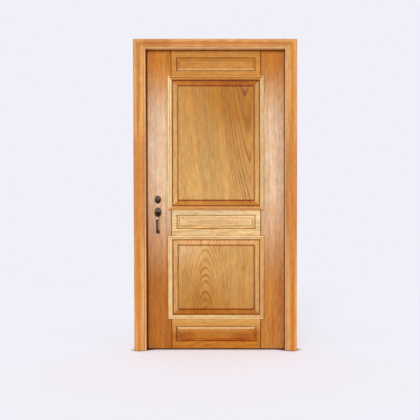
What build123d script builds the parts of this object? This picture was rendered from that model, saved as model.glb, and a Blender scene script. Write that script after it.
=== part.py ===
from build123d import *
import os
from math import asin, cos, degrees, radians, sin, sqrt, tan

# Panelled timber front door, hung in its own rebated frame. Millimetres.
# X runs to the right seen from outside, Y runs inwards from the frame's outer face, Z runs up
# from the sill line. The leaf opens inwards on three butt hinges at +X. The lock is at -X, with
# its latch and dead bolt drawn back, so that the leaf is free to swing.

# Frame
opening_width = 967          # between the stops
opening_height = 2098        # sill line to the head's stop
jamb_width = 83.5
head_height = 64
stop_depth = 62              # reveal in front of the leaf
stop_width = 12              # the stop and the moulding along its arris
quirk = 2                    # step beside the frame's quarter round
head_tenon = 45              # how far the head goes into each jamb
head_tenon_thick = 28
head_tenon_inset = 8         # from the head's top and from its rebate
fixing_hole_r = 4
fixing_counterbore_r = 8
fixing_counterbore_deep = 8
fixing_low = 150
fixing_top_down = 148        # under the opening's top
fixing_count = 4

# Leaf
leaf_thick = 42
leaf_gap = 3                 # beside and above the leaf
floor_gap = 7
stop_clearance = 1
stile_width = 179
top_rail_height = 208
middle_rail_height = 226
bottom_rail_height = 232
middle_rail_down = 79        # the rail's middle under the handle's
joint_groove = 2.5           # chamfer each side of a stile and rail joint
groove_deep = 12             # for the panels' tongues
tongue_thick = 14
panel_float = 1.5            # room for a panel to move in its groove
wood_fit = 0.1               # between a tongue or tenon and its slot
tenon_length = 60
tenon_inset = 30             # from a rail's edges to its tenon

# Raised panels
panel_bevel = 38             # width of the sloping border
panel_bevel_rise = 6
field_step = 6               # the field stands this far over the border
field_round = 5

# Mouldings round the panels
mould_lip = 7                # reaches over the panel
mould_cover = 22             # lies on the framing
mould_proud = 14
bead_r = 5.5
mould_quirk = 2              # groove between bead and ovolo
mould_quirk_floor = 5        # its height over the framing
mould_fillet = 3             # square edge next to the panel
mould_swell = 4              # the ovolo's bulge

# Raised ornament on the rails
motif_sink = 5
motif_border = 20
motif_border_rise = 3
motif_step = 1.5
motif_inset = 59             # from the top and middle rails' edges
middle_motif_low = 72         # from the middle rail's lower edge
motif_side_inset = 38        # from those rails' ends
bottom_motif_low = 53
bottom_motif_high = 77
bottom_motif_side = 32

# Hinges
hinge_height = 100
hinge_plate = 32             # width let into the wood
hinge_thick = 2.6
knuckle_r = 6.5
knuckle_count = 5
knuckle_gap = 0.3
pin_r = 3.5
pin_fit = 0.05
pin_offset = 7               # the pin's axis stands this far inside the leaf's face
pin_cap_r = 6
pin_cap_high = 4
pin_cap_round = 2.8
hinge_top_down = 225         # leaf's top to the top hinge's middle
hinge_bottom_up = 250
hinge_screw_rows = (-38, -14, 14, 38)
hinge_screw_stagger = 5
hinge_screw_long = 30

# Lock
backset = 84
handle_height = 973
cylinder_pitch = 84          # handle up to cylinder
case_thick = 15
case_wall = 1.5
case_behind = 28             # case reaches past the handle's axis
case_below = 40
case_above = 40
case_fit = 0.5
faceplate_thick = 3
faceplate_width = 22
faceplate_height = 235
bolt_fit = 0.3
latch_head_high = 16
latch_head_long = 24
latch_throw = 12
latch_nose = 7               # how far the latch's slope goes across its nose
latch_height = 14            # over the handle's axis
bolt_head_high = 34
bolt_head_long = 28
bolt_throw = 20
tail_thick = 4
tail_margin = 2              # metal round a tail's slot
tail_bar_bite = 3            # how far the tail bar goes into the key plug
drive_thick = 3.5            # follower and cam plates
hub_r = 9
follower_swing = 45
follower_pin_r = 2
lift_reach = 15
lift_thick = 5
cam_hub_r = 8
cam_pin_r = 2.5
crank_rim = 1.5              # metal round a driving pin
hub_set = 0.2                # the hub's ends inside the case's faces
cam_swing = 90
cam_slack = 0.6              # beside the cam's pin in the dead bolt
latch_slack = 0.45           # beside the follower's pin in the latch
running_fit = 0.08

# Strike
strike_thick = 2
strike_width = 34
strike_reach = 13            # past the keeps, up and down
strike_round = 5
keep_fit = 1.5               # round the latch and the bolt
latch_keep_deep = 16
bolt_keep_deep = 22

# Door furniture
rose_thick = 7
rose_round = 3.5
cylinder_rose_size = (42, 53)
handle_rose_size = (44, 66)
handle_rose_drop = 6         # the rose's middle under the handle's axis
handle_rose_thick = 9
cylinder_r = 14.5
cylinder_proud = 2
plug_r = 6.5
keyway = (1.4, 8)
keyway_deep = 14
tail_bar = (6, 2)
turn_stem_r = 6
turn_size = (11, 34, 15)
turn_clear = 0.5             # between the turn and its rose
turn_corner = 5
turn_edge = 2.7
grip_section = (12, 9.5)
grip_out = 46                # grip's centre line in front of the leaf
grip_root_down = 30          # the grip's upper end under the handle's height
grip_long = 114
grip_bend = 15
grip_slope = 6               # the grip's ends slope by this much
foot_size = (26, 21)
foot_thick = 6
thumb_axle_r = 2.6
thumb_axle_in = 4            # axle in front of the leaf's face
thumb_tail_long = 23.5
thumb_axle_end = 6           # axle beyond the thumb plate's neck
thumb_room = 4.5             # half the height of the slot that the neck rocks in
lift_gap = 0.4               # between the tail and the follower's arm at rest
thumb_plate = (24, 30)
thumb_neck = 15
thumb_thick = 4
thumb_corner = 10
thumb_edge = 1.4
thumb_reach = 38
tail_width = 5
knob_neck_r = 10
knob_waist = 18.5            # the neck swells from this far off the leaf
knob_swell = (20, 26)        # radius and distance: halfway out
knob_widest = (26, 36.5)
knob_shoulder = (19, 48.5)
knob_long = 52
spindle = 8
spindle_fit = 0.15
spindle_in_knob = 32

# Screws
wood_screw_r = 2.2
screw_head_r = 4.2
screw_head_high = 2.4
recess_wide = 1
recess_deep = 1.2
strike_screw_long = 28
faceplate_screw_long = 25
through_screw_r = 2.5
through_screw_head_r = 4.5
through_screw_spread = 25
through_screw_bite = 6       # into the handle's casting
foot_screw_bite = 4
cylinder_screw_r = 2
cylinder_screw_head_r = 3.6
cylinder_screw_bite = 8
cylinder_screw_at = (10, -6)
screw_fit = 0.1

# Places worked out from the sizes above
stop_x = opening_width / 2
rebate_x = stop_x + stop_width
frame_x = stop_x + jamb_width
rebate_top = opening_height + stop_width
frame_top = opening_height + head_height
fixing_step = (opening_height - fixing_top_down - fixing_low) / (fixing_count - 1)
fixing_heights = [fixing_low + fixing_step * n for n in range(fixing_count)]
leaf_front = stop_depth + stop_clearance
leaf_back = leaf_front + leaf_thick
leaf_middle = leaf_front + leaf_thick / 2
frame_depth = leaf_back
leaf_x = rebate_x - leaf_gap
leaf_top = rebate_top - leaf_gap
rail_x = leaf_x - stile_width
top_rail = (leaf_top - top_rail_height, leaf_top)
middle_rail_centre = handle_height - middle_rail_down
middle_rail = (
    middle_rail_centre - middle_rail_height / 2,
    middle_rail_centre + middle_rail_height / 2,
)
bottom_rail = (floor_gap, floor_gap + bottom_rail_height)
hinge_heights = {
    "top": leaf_top - hinge_top_down,
    "middle": (leaf_top - hinge_top_down + floor_gap + hinge_bottom_up) / 2,
    "bottom": floor_gap + hinge_bottom_up,
}
pin_x = leaf_x + leaf_gap / 2
pin_y = leaf_back + pin_offset
lock_x = backset - leaf_x
case_front = faceplate_thick - leaf_x
case_back = lock_x + case_behind
case_low = handle_height - case_below
cylinder_height = handle_height + cylinder_pitch
case_high = cylinder_height + case_above
faceplate_centre = (case_low + case_high) / 2
case_y = (leaf_middle - case_thick / 2, leaf_middle + case_thick / 2)
room_y = (case_y[0] + case_wall, case_y[1] - case_wall)
bolt_y = (room_y[0] + bolt_fit, room_y[1] - bolt_fit)
drive_y = (bolt_y[0], bolt_y[0] + drive_thick)
tail_y = (drive_y[1] + bolt_fit, drive_y[1] + bolt_fit + tail_thick)
latch_centre = handle_height + latch_height
follower_reach = latch_throw / (2 * sin(radians(follower_swing / 2)))
cam_reach = bolt_throw / (2 * sin(radians(cam_swing / 2)))
handle_rose_centre = handle_height - handle_rose_drop
grip_root = handle_height - grip_root_down
grip_foot = grip_root - grip_long
tail_x = lock_x - lift_reach + tail_width / 2
lift_slope = tan(radians(follower_swing / 2))
lift_half = lift_thick / 2 / cos(radians(follower_swing / 2))
lift_under = (lift_reach - tail_width) * lift_slope - lift_half
lift_travel = lift_under + lift_reach * lift_slope + lift_half
thumb_swing = 2 * degrees(asin(lift_travel / 2 / thumb_tail_long))
tail_rise = lift_travel / 2 + thumb_thick / 2 * cos(radians(thumb_swing / 2))
thumb_axle_y = leaf_front - thumb_axle_in
thumb_axle_z = handle_height + lift_under - lift_gap - tail_rise
strike_low = latch_centre - latch_head_high / 2 - keep_fit - strike_reach
strike_high = cylinder_height + bolt_head_high / 2 + keep_fit + strike_reach
strike_centre = (strike_low + strike_high) / 2
strike_half = (strike_high - strike_low) / 2

parts = {}


def block(x, y, z):
    """A block between pairs of limits along X, Y and Z."""
    sizes = [abs(b - a) for a, b in (x, y, z)]
    return Pos(sum(x) / 2, sum(y) / 2, sum(z) / 2) * Box(*sizes)


def around(centre, half):
    """The limits that lie half each side of a centre."""
    return (centre - half, centre + half)


def bar(radius, length):
    """A round bar that stands on the origin."""
    return Cylinder(radius, length, align=(Align.CENTER, Align.CENTER, Align.MIN))


def rod_x(y, z, x, radius):
    """A round bar along X."""
    return Pos(x[0], y, z) * Rot(0, 90, 0) * bar(radius, x[1] - x[0])


def rod_y(x, z, y, radius):
    """A round bar along Y."""
    return Pos(x, y[0], z) * Rot(-90, 0, 0) * bar(radius, y[1] - y[0])


def rod_z(x, y, z, radius):
    """A round bar along Z."""
    return Pos(x, y, z[0]) * bar(radius, z[1] - z[0])


def upright(outline, z):
    """A closed outline in the XY plane, drawn up between two heights."""
    return Pos(0, 0, z[0]) * extrude(make_face(outline), z[1] - z[0])


def from_front(sketch, y):
    """A sketch of X and Z, drawn inwards from the first Y to the second."""
    plane = Plane(origin=(0, y[0], 0), x_dir=(1, 0, 0), z_dir=(0, -1, 0))
    return extrude(plane * sketch, -(y[1] - y[0]))


def from_side(sketch, x):
    """A sketch of Y and Z, drawn along X from the first place to the second."""
    plane = Plane(origin=(x[0], 0, 0), x_dir=(0, 1, 0), z_dir=(1, 0, 0))
    return extrude(plane * sketch, x[1] - x[0])


def at(x, y, sketch):
    """A sketch moved in its own plane."""
    return Pos(x, y, 0) * sketch


def flipped(shape):
    """The same shape on the other side of the door's middle line."""
    return mirror(shape, Plane.YZ)


def other_face(shape):
    """The same shape on the leaf's other face."""
    return mirror(shape, Plane(origin=(0, leaf_middle, 0), z_dir=(0, 1, 0)))


def turned(shape, x, z, angle):
    """The shape turned about a line along Y, its top going to +X."""
    return Pos(x, 0, z) * Rot(0, angle, 0) * Pos(-x, 0, -z) * shape


def screw(length, radius=wood_screw_r, head_r=screw_head_r, head_high=screw_head_high):
    """A countersunk screw that points down, with its head's top at the origin."""
    shank = Pos(0, 0, -length) * bar(radius, length)
    head = Pos(0, 0, -head_high / 2) * Cone(radius, head_r, head_high)
    recess = Box(head_r, recess_wide, 2 * recess_deep) + Box(recess_wide, head_r, 2 * recess_deep)
    return shank + head - recess


def screw_hole(length, radius=wood_screw_r, head_r=screw_head_r, head_high=screw_head_high):
    """The room that such a screw needs, with a little clearance."""
    hole = Pos(0, 0, -length - screw_fit) * bar(radius + screw_fit, length + 2 * screw_fit)
    return hole + Pos(0, 0, screw_fit - head_high / 2) * Cone(radius + screw_fit,
                                                             head_r + 2 * screw_fit, head_high)


# Frame

def frame_section(stop, outside):
    """The frame's section: rebate, stop, reveal, round arris with its quirk, and flat face.

    It is drawn in the plane of the distance from the opening's middle and Y, for jamb and head.
    """
    rebate = stop + stop_width
    round_r = rebate - stop - quirk
    top = (stop + round_r, quirk)
    side = (stop, quirk + round_r)
    middle = (top[0] - round_r * sqrt(0.5), side[1] - round_r * sqrt(0.5))
    return make_face(
        Polyline(side, (stop, stop_depth), (rebate, stop_depth), (rebate, frame_depth),
                 (outside, frame_depth), (outside, 0), (rebate, 0), (rebate, quirk), top)
        + ThreePointArc(top, middle, side)
    )


def head_tenon_block(fit=0):
    """The head's tenon at the hinge jamb, or its mortise when a fit is given."""
    return block(
        (rebate_x, rebate_x + head_tenon + fit),
        around(stop_depth / 2, head_tenon_thick / 2 + fit),
        (rebate_top + head_tenon_inset - fit, frame_top - head_tenon_inset + fit),
    )


def hinge_jamb():
    """A full-height jamb, mitred where its arris meets the head's."""
    jamb = extrude(frame_section(stop_x, frame_x), frame_top)
    reach = stop_width
    above = Polyline((stop_x - reach, opening_height - reach), (rebate_x, rebate_top),
                     (rebate_x, frame_top + reach), (stop_x - reach, frame_top + reach),
                     close=True)
    jamb -= from_front(make_face(above), (0, stop_depth))
    jamb -= head_tenon_block(wood_fit)
    middle = (stop_depth + frame_depth) / 2
    for height in fixing_heights:
        jamb -= rod_x(middle, height, (rebate_x, frame_x), fixing_hole_r)
        jamb -= rod_x(middle, height, (rebate_x, rebate_x + fixing_counterbore_deep),
                      fixing_counterbore_r)
    return jamb


def frame_head():
    """The head between the jambs, with a mitred arris and a tenon at each end."""
    plane = Plane(origin=(-rebate_x, 0, 0), x_dir=(0, 0, 1), z_dir=(-1, 0, 0))
    head = extrude(plane * frame_section(opening_height, frame_top), -2 * rebate_x)
    reach = stop_width
    below = Polyline((stop_x - reach, opening_height - reach),
                     (rebate_x + reach, opening_height - reach),
                     (rebate_x + reach, rebate_top + reach), close=True)
    corner = from_front(make_face(below), (0, stop_depth))
    tenon = head_tenon_block()
    return head - corner - flipped(corner) + tenon + flipped(tenon)


# Leaf framing and panels

def joint_cut():
    """The V groove along a stile and rail joint, on both faces."""
    low = Polyline((rail_x - joint_groove, leaf_front), (rail_x + joint_groove, leaf_front),
                   (rail_x, leaf_front + joint_groove), close=True)
    groove = upright(low, (0, frame_top))
    return groove + other_face(groove)


def tongue_y(fit=0):
    """The Y limits of a tongue or tenon in the middle of the leaf's thickness."""
    return around(leaf_middle, tongue_thick / 2 + fit)


def tenon_block(rail, fit=0):
    """A rail's tenon at the hinge stile, or its mortise when a fit is given."""
    heights = (rail[0] + tenon_inset - fit, rail[1] - tenon_inset + fit)
    return block((rail_x, rail_x + tenon_length + fit), tongue_y(fit), heights)


def hinge_stile():
    """A full-height stile, grooved for the panels and mortised for the rails."""
    stile = block((rail_x, leaf_x), (leaf_front, leaf_back), (floor_gap, leaf_top))
    stile -= block((rail_x, rail_x + groove_deep + wood_fit), tongue_y(wood_fit),
                   (floor_gap, leaf_top))
    for rail in (top_rail, middle_rail, bottom_rail):
        stile -= tenon_block(rail, wood_fit)
    return stile - joint_cut()


def motif_cut(z, half):
    """What is taken from a rail's outside face to leave a sunk field with a raised middle."""
    size = (2 * half, z[1] - z[0])
    centre = Pos(0, sum(z) / 2, 0)
    floor = leaf_front + motif_sink
    crest = floor - motif_border_rise
    inner = (size[0] - 2 * motif_border, size[1] - 2 * motif_border)
    sunk = from_front(centre * Rectangle(*size), (leaf_front, floor))
    border = frustum(centre, size, inner, floor, crest)
    field = from_front(centre * Rectangle(*inner), (crest - motif_step, crest))
    return sunk - border - field


def frustum(centre, base, top, base_y, top_y):
    """A four-sided slope from a large rectangle at one Y to a smaller one at another."""
    sections = []
    for size, y in ((base, base_y), (top, top_y)):
        plane = Plane(origin=(0, y, 0), x_dir=(1, 0, 0), z_dir=(0, -1, 0))
        sections.append(plane * centre * Rectangle(*size))
    return loft(sections, ruled=True)


def rail(limits, grooves, motif, motif_half):
    """A rail with its tenons, a groove for each panel it holds, and an ornament on each face."""
    whole = block((-rail_x, rail_x), (leaf_front, leaf_back), limits)
    haunch = block((rail_x, rail_x + groove_deep), tongue_y(), limits)
    tenon = tenon_block(limits)
    whole += haunch + tenon + flipped(haunch) + flipped(tenon)
    for edge, inwards in grooves:
        depth = sorted((edge, edge + inwards * (groove_deep + wood_fit)))
        reach = rail_x + groove_deep
        whole -= block((-reach, reach), tongue_y(wood_fit), depth)
    cut = motif_cut(motif, motif_half)
    whole -= joint_cut() + flipped(joint_cut())
    return whole - cut - other_face(cut)


def panel(low, high):
    """A panel raised on both faces, with a tongue round its edge."""
    opening = (2 * rail_x, high - low)
    centre = Pos(0, (low + high) / 2, 0)
    reach = 2 * (groove_deep - panel_float)
    core = from_front(centre * Rectangle(opening[0] + reach, opening[1] + reach), tongue_y())
    face = tongue_y()[0]
    crest = face - panel_bevel_rise
    border = [side - 2 * mould_lip for side in opening]
    field = [side - 2 * panel_bevel for side in border]
    raised = from_front(centre * Rectangle(*field), (crest - field_step, crest))
    front = raised.faces().sort_by(Axis.Y)[0]
    raised = fillet(front.edges(), field_round)
    raised += frustum(centre, border, field, face, crest)
    return core + raised + other_face(raised)


# Mouldings

def moulding_section(drop):
    """Bead, quirk and ovolo in section, from the sight edge outwards, standing on the framing.

    The lip reaches down over the panel by drop.
    """
    width = mould_lip + mould_cover
    bead = width - bead_r
    inner = width - 2 * bead_r
    quirk_in = inner - mould_quirk
    shoulder = mould_proud - bead_r / 2
    foot = -drop + mould_fillet
    spring = mould_proud - bead_r
    return make_face(
        Polyline((0, foot), (0, -drop), (mould_lip, -drop), (mould_lip, 0), (width, 0),
                 (width, spring))
        + ThreePointArc((width, spring), (bead, mould_proud), (inner, spring))
        + Polyline((inner, spring), (inner, mould_quirk_floor), (quirk_in, mould_quirk_floor),
                   (quirk_in, shoulder))
        + SagittaArc((quirk_in, shoulder), (mould_fillet, foot), -mould_swell)
        + Line((mould_fillet, foot), (0, foot))
    )


def moulding_stick(middle, out, along, half, drop):
    """One mitred stick on the leaf's outside face.

    middle is the X and Z of its sight edge's middle, out points away from the panel, and half is
    half the sight edge's length.
    """
    origin = (middle[0], leaf_front, middle[1])
    across = Plane(origin=origin, x_dir=out, z_dir=along)
    width = mould_lip + mould_cover
    stick = extrude(across * moulding_section(drop), half + width, both=True)
    flat = Plane(origin=origin, x_dir=along, z_dir=(0, -1, 0))
    end = half + width
    wedge = make_face(Polyline((-half, 0), (half, 0), (end, width), (-end, width), close=True))
    return stick & extrude(flat * wedge, 2 * leaf_thick, both=True)


def mouldings(name, low, high):
    """Four sticks round a panel on each face."""
    drop = tongue_y()[0] - leaf_front
    half_x = rail_x - mould_lip
    half_z = (high - low) / 2 - mould_lip
    centre = (low + high) / 2
    sticks = {
        "top": ((0, centre + half_z), (0, 0, 1), (1, 0, 0), half_x),
        "bottom": ((0, centre - half_z), (0, 0, -1), (-1, 0, 0), half_x),
        "right": ((half_x, centre), (1, 0, 0), (0, 0, -1), half_z),
        "left": ((-half_x, centre), (-1, 0, 0), (0, 0, 1), half_z),
    }
    for side, (middle, out, along, half) in sticks.items():
        stick = moulding_stick(middle, out, along, half, drop)
        parts[f"moulding_outside_{name}_{side}"] = stick
        parts[f"moulding_inside_{name}_{side}"] = other_face(stick)


# Hinges

def knuckle_heights(z, door):
    """The Z limits of the knuckles on the door's half of a hinge, or on the frame's half."""
    step = hinge_height / knuckle_count
    low = z - hinge_height / 2
    spans = []
    for i in range(knuckle_count):
        if (i % 2 == 1) == door:
            spans.append((low + i * step + knuckle_gap / 2, low + (i + 1) * step - knuckle_gap / 2))
    return spans


def hinge_half(z, plate_x, door):
    """A hinge plate with its knuckles, drilled and countersunk for its screws."""
    plate_y = (leaf_back - hinge_plate, leaf_back)
    plate = block(plate_x, plate_y, around(z, hinge_height / 2))
    for span in knuckle_heights(z, door):
        plate += block(plate_x, (leaf_back, pin_y), span)
        plate += rod_z(pin_x, pin_y, span, knuckle_r)
    bore_r = pin_r + (pin_fit if door else pin_fit / 2)
    plate -= rod_z(pin_x, pin_y, around(z, hinge_height), bore_r)
    for hole in hinge_screws(z, door, screw_hole):
        plate -= hole
    return plate


def hinge_screws(z, door, shape):
    """The screws of one half of a hinge, or their holes."""
    face, turn = (leaf_x, 90) if door else (rebate_x, -90)
    placed = []
    for i, row in enumerate(hinge_screw_rows):
        y = leaf_back - hinge_plate / 2 + hinge_screw_stagger * (-1) ** i
        placed.append(Pos(face, y, z + row) * Rot(0, turn, 0) * shape(hinge_screw_long))
    return placed


def hinge_pin(z):
    """A pin with a low domed cap at each end."""
    ends = around(z, hinge_height / 2)
    pin = rod_z(pin_x, pin_y, ends, pin_r)
    cap = bar(pin_cap_r, pin_cap_high)
    cap = fillet(cap.edges().sort_by(Axis.Z)[-1], pin_cap_round)
    return pin + Pos(pin_x, pin_y, ends[1]) * cap + Pos(pin_x, pin_y, ends[0]) * Rot(180, 0, 0) * cap


def add_hinges():
    """Three butt hinges, let into the jamb and the stile."""
    jamb, stile = parts["frame_jamb_hinge"], parts["stile_hinge"]
    frame_x_limits = (rebate_x, rebate_x + hinge_thick)
    door_x_limits = (leaf_x - hinge_thick, leaf_x)
    screws = {True: [], False: []}
    for name, z in hinge_heights.items():
        span = around(z, hinge_height / 2)
        plate_y = (leaf_back - hinge_plate, leaf_back)
        jamb -= block(frame_x_limits, plate_y, span)
        stile -= block(door_x_limits, plate_y, span)
        for door in (True, False):
            screws[door] += hinge_screws(z, door, screw)
            for hole in hinge_screws(z, door, screw_hole):
                if door:
                    stile -= hole
                else:
                    jamb -= hole
        parts[f"hinge_frame_leaf_{name}"] = hinge_half(z, frame_x_limits, False)
        parts[f"hinge_door_leaf_{name}"] = hinge_half(z, door_x_limits, True)
        parts[f"hinge_pin_{name}"] = hinge_pin(z)
    parts["hinge_frame_screws"] = Compound(children=screws[False])
    parts["hinge_door_screws"] = Compound(children=screws[True])
    parts["frame_jamb_hinge"], parts["stile_hinge"] = jamb, stile


# Mortise lock

def tail_bar_block(y, fit=0):
    """The flat bar between key plug and thumb turn, or the slot that holds it."""
    wide, thick = tail_bar
    return block(around(lock_x, wide / 2 + fit), y, around(cylinder_height, thick / 2 + fit))


def spindle_block(y, fit=0):
    """The square spindle, or the hole that it fits."""
    half = spindle / 2 + fit
    return block(around(lock_x, half), y, around(handle_height, half))


def through_screws(shape):
    """Two long screws clamp the handle and the knob's rose together; a third holds the foot."""
    length = leaf_back + rose_thick - leaf_front + through_screw_bite
    placed = []
    for rise in (through_screw_spread, -through_screw_spread):
        place = Pos(lock_x, leaf_back + rose_thick, handle_height + rise)
        placed.append(place * Rot(-90, 0, 0) * shape(length, through_screw_r, through_screw_head_r))
    length = leaf_thick + foot_screw_bite
    place = Pos(lock_x, leaf_back, grip_foot)
    placed.append(place * Rot(-90, 0, 0) * shape(length, through_screw_r, through_screw_head_r))
    return placed


def cylinder_screws(shape):
    """The two screws that draw the cylinder and the thumb turn's rose together."""
    length = leaf_back + rose_thick - case_y[0] + cylinder_screw_bite
    across, rise = cylinder_screw_at
    placed = []
    for side in (-across, across):
        place = Pos(lock_x + side, leaf_back + rose_thick, cylinder_height + rise)
        placed.append(place * Rot(-90, 0, 0) * shape(length, cylinder_screw_r, cylinder_screw_head_r))
    return placed


def case_openings():
    """What is bored through both sides of the lock case."""
    cuts = [
        rod_y(lock_x, handle_height, case_y, hub_r + running_fit),
        rod_y(lock_x, cylinder_height, case_y, tail_bar[0] / 2 + cam_slack),
    ]
    return cuts + through_screws(screw_hole)[:2] + cylinder_screws(screw_hole)


def thumb_tail_room(y, fit):
    """The slot that the thumb piece's tail rocks in."""
    half = (room_y[0] - thumb_axle_y) * tan(radians(thumb_swing / 2)) + thumb_thick / 2 + fit
    return block(around(tail_x, tail_width / 2 + fit), y, around(thumb_axle_z, half))


def lock_case():
    """The case's tray and its cover."""
    back, ends = case_back - case_wall, (case_low + case_wall, case_high - case_wall)
    tray = block((case_front, case_back), case_y, (case_low, case_high))
    tray -= block((case_front, back), (room_y[0], case_y[1]), ends)
    cover = block((case_front, back), (room_y[1], case_y[1]), ends)
    for cut in case_openings():
        tray -= cut
        cover -= cut
    return tray - thumb_tail_room((case_y[0], room_y[0]), bolt_fit), cover


def faceplate_screws(shape):
    """The faceplate's two screws, or their holes."""
    reach = faceplate_height / 2 - faceplate_width / 2
    placed = []
    for rise in (-reach, reach):
        place = Pos(-leaf_x, leaf_middle, faceplate_centre + rise)
        placed.append(place * Rot(0, -90, 0) * shape(faceplate_screw_long))
    return placed


def faceplate():
    """The plate on the leaf's edge that the latch and the bolt pass through."""
    outline = SlotOverall(faceplate_height, faceplate_width, rotation=90)
    plate_x = (-leaf_x, case_front)
    plate = from_side(at(leaf_middle, faceplate_centre, outline), plate_x)
    for height, high in ((latch_centre, latch_head_high), (cylinder_height, bolt_head_high)):
        plate -= block(plate_x, room_y, around(height, high / 2 + bolt_fit))
    return plate


def driven_tail(head_end, pin_x_at_rest, z_axis, reach, pin, slack, low):
    """The flat tail behind a latch or bolt head, with a slot that its driving pin works in."""
    high = z_axis + reach + pin + slack + tail_margin
    tail = block((head_end, pin_x_at_rest + pin + slack + tail_margin), tail_y, (low, high))
    slot_top = z_axis + reach + pin + slack
    return tail - block(around(pin_x_at_rest, pin + slack), tail_y, (low, slot_top))


def latch_bolt():
    """The sprung latch, drawn back flush with the faceplate."""
    head = block((-leaf_x, latch_head_long - leaf_x), bolt_y, around(latch_centre, latch_head_high / 2))
    slope = Polyline((-leaf_x, bolt_y[0]), (-leaf_x, bolt_y[0] + latch_nose),
                     (latch_throw - leaf_x, bolt_y[0]), close=True)
    head -= upright(slope, around(latch_centre, latch_head_high))
    pin_at = lock_x + follower_reach * sin(radians(follower_swing / 2))
    low = handle_height + hub_r + tail_margin / 2
    return head + driven_tail(latch_head_long - leaf_x, pin_at, handle_height, follower_reach,
                              follower_pin_r, latch_slack, low)


def dead_bolt():
    """The dead bolt, drawn back flush with the faceplate."""
    head = block((-leaf_x, bolt_head_long - leaf_x), bolt_y, around(cylinder_height, bolt_head_high / 2))
    pin_at = lock_x + cam_reach * sin(radians(cam_swing / 2))
    low = cylinder_height + tail_bar[0]
    return head + driven_tail(bolt_head_long - leaf_x, pin_at, cylinder_height, cam_reach,
                              cam_pin_r, cam_slack, low)


def crank(z_axis, reach, pin):
    """An upright arm on the lock's axis, with a driving pin at its tip."""
    tip = z_axis + reach
    arm = block(around(lock_x, pin + crank_rim), drive_y, (z_axis, tip))
    arm += rod_y(lock_x, tip, drive_y, pin + crank_rim)
    return arm + rod_y(lock_x, tip, (drive_y[0], tail_y[1]), pin)


def latch_follower():
    """The hub in the lock that the spindle turns, with an arm for the latch and one to lift."""
    hub = rod_y(lock_x, handle_height, (case_y[0] + hub_set, case_y[1] - hub_set), hub_r)
    hub += crank(handle_height, follower_reach, follower_pin_r)
    hub += block((lock_x - lift_reach, lock_x), drive_y, around(handle_height, lift_thick / 2))
    hub -= spindle_block(case_y, spindle_fit)
    return turned(hub, lock_x, handle_height, follower_swing / 2)


def bolt_cam():
    """The cam on the tail bar that throws the dead bolt."""
    cam = rod_y(lock_x, cylinder_height, drive_y, cam_hub_r)
    cam += crank(cylinder_height, cam_reach, cam_pin_r)
    cam = turned(cam, lock_x, cylinder_height, cam_swing / 2)
    return cam - tail_bar_block(case_y, spindle_fit)


def add_lock():
    """The mortise lock, its faceplate and everything in its case."""
    parts["lock_case"], parts["lock_cover"] = lock_case()
    plate = faceplate()
    for hole in faceplate_screws(screw_hole):
        plate -= hole
    parts["lock_faceplate"] = plate
    parts["faceplate_screws"] = Compound(children=faceplate_screws(screw))
    parts["latch_bolt"] = latch_bolt()
    parts["dead_bolt"] = dead_bolt()
    parts["latch_follower"] = latch_follower()
    parts["bolt_cam"] = bolt_cam()
    parts["tail_bar"] = tail_bar_block((case_y[0] - tail_bar_bite, leaf_back + rose_thick))


def cut_stile_for_lock():
    """Mortise, faceplate recess and bores in the lock stile."""
    stile = parts["stile_lock"]
    low, high = case_low - case_fit, case_high + case_fit
    room = (case_y[0] - case_fit, case_y[1] + case_fit)
    stile -= block((case_front, case_back + case_fit), room, (low, high))
    outline = SlotOverall(faceplate_height, faceplate_width, rotation=90)
    stile -= from_side(at(leaf_middle, faceplate_centre, outline), (-leaf_x, case_front))
    outer, inner = (leaf_front, room[0]), (room[1], leaf_back)
    stile -= rod_y(lock_x, cylinder_height, outer, cylinder_r + case_fit)
    stile -= rod_y(lock_x, cylinder_height, inner, turn_stem_r + case_fit)
    stile -= rod_y(lock_x, handle_height, inner, hub_r + case_fit)
    stile -= thumb_tail_room(outer, case_fit)
    holes = faceplate_screws(screw_hole) + through_screws(screw_hole) + cylinder_screws(screw_hole)
    for hole in holes:
        stile -= hole
    parts["stile_lock"] = stile


# Strike

def strike_screws(shape):
    """The strike plate's two screws, or their holes."""
    reach = strike_half - strike_reach / 2
    placed = []
    for rise in (-reach, reach):
        place = Pos(-rebate_x, leaf_back - strike_width / 2, strike_centre + rise)
        placed.append(place * Rot(0, 90, 0) * shape(strike_screw_long))
    return placed


def keep(x, height, high):
    """The room for a latch or bolt head in the strike or the jamb."""
    return block(x, (bolt_y[0] - keep_fit, bolt_y[1] + keep_fit), around(height, high / 2 + keep_fit))


def add_strike():
    """The strike plate, let into the lock jamb over its two pockets."""
    jamb = parts["frame_jamb_lock"]
    plate_x = (-rebate_x - strike_thick, -rebate_x)
    outline = RectangleRounded(strike_width, 2 * strike_half, strike_round)
    plate = from_side(at(leaf_back - strike_width / 2, strike_centre, outline), plate_x)
    jamb -= plate
    pockets = ((latch_centre, latch_head_high, latch_keep_deep),
               (cylinder_height, bolt_head_high, bolt_keep_deep))
    for height, high, deep in pockets:
        plate -= keep(plate_x, height, high)
        jamb -= keep((plate_x[0] - deep, plate_x[0]), height, high)
    for hole in strike_screws(screw_hole):
        plate -= hole
        jamb -= hole
    parts["strike_plate"], parts["frame_jamb_lock"] = plate, jamb
    parts["strike_screws"] = Compound(children=strike_screws(screw))


# Door furniture

def rose(size, z, y, outwards):
    """An oval plate on a face of the leaf, with a rounded front edge."""
    plate = from_front(at(lock_x, z, Ellipse(size[0] / 2, size[1] / 2)), y)
    rim = plate.faces().sort_by(Axis.Y)[0 if outwards else -1].edges()
    return fillet(rim, rose_round)


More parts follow.
